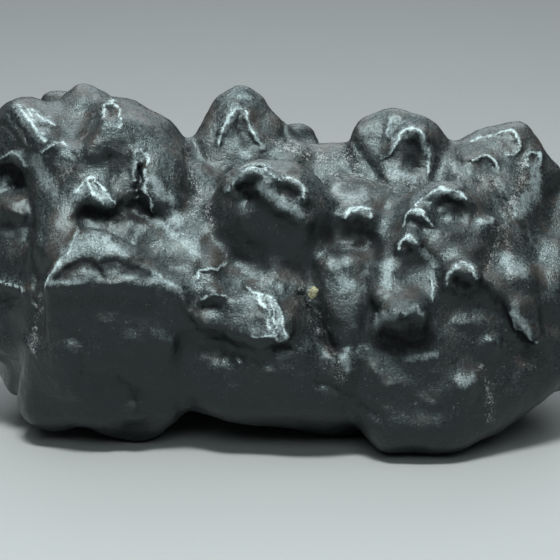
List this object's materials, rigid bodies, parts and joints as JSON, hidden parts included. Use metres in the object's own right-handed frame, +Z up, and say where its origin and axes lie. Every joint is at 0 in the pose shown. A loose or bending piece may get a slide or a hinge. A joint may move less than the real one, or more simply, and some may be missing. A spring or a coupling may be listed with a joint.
{
  "type": "prophecy stone",
  "caption": "Long low natural cluster of worn, blunt iron-mineral crystals, dark and polished, lying on its side.",
  "frame": {"origin": "middle of the outline's box, at the height of the floor it rests on", "axes": "+X along the stone to the picture's right, +Y away from the viewer, +Z up"},
  "size_m": [0.085, 0.0398, 0.0422],
  "materials": {
    "stone": "worn and polished natural iron oxide, dusty in the creases"
  },
  "bodies": {
    "root": {"stone": "stone"}
  },
  "joints": []
}
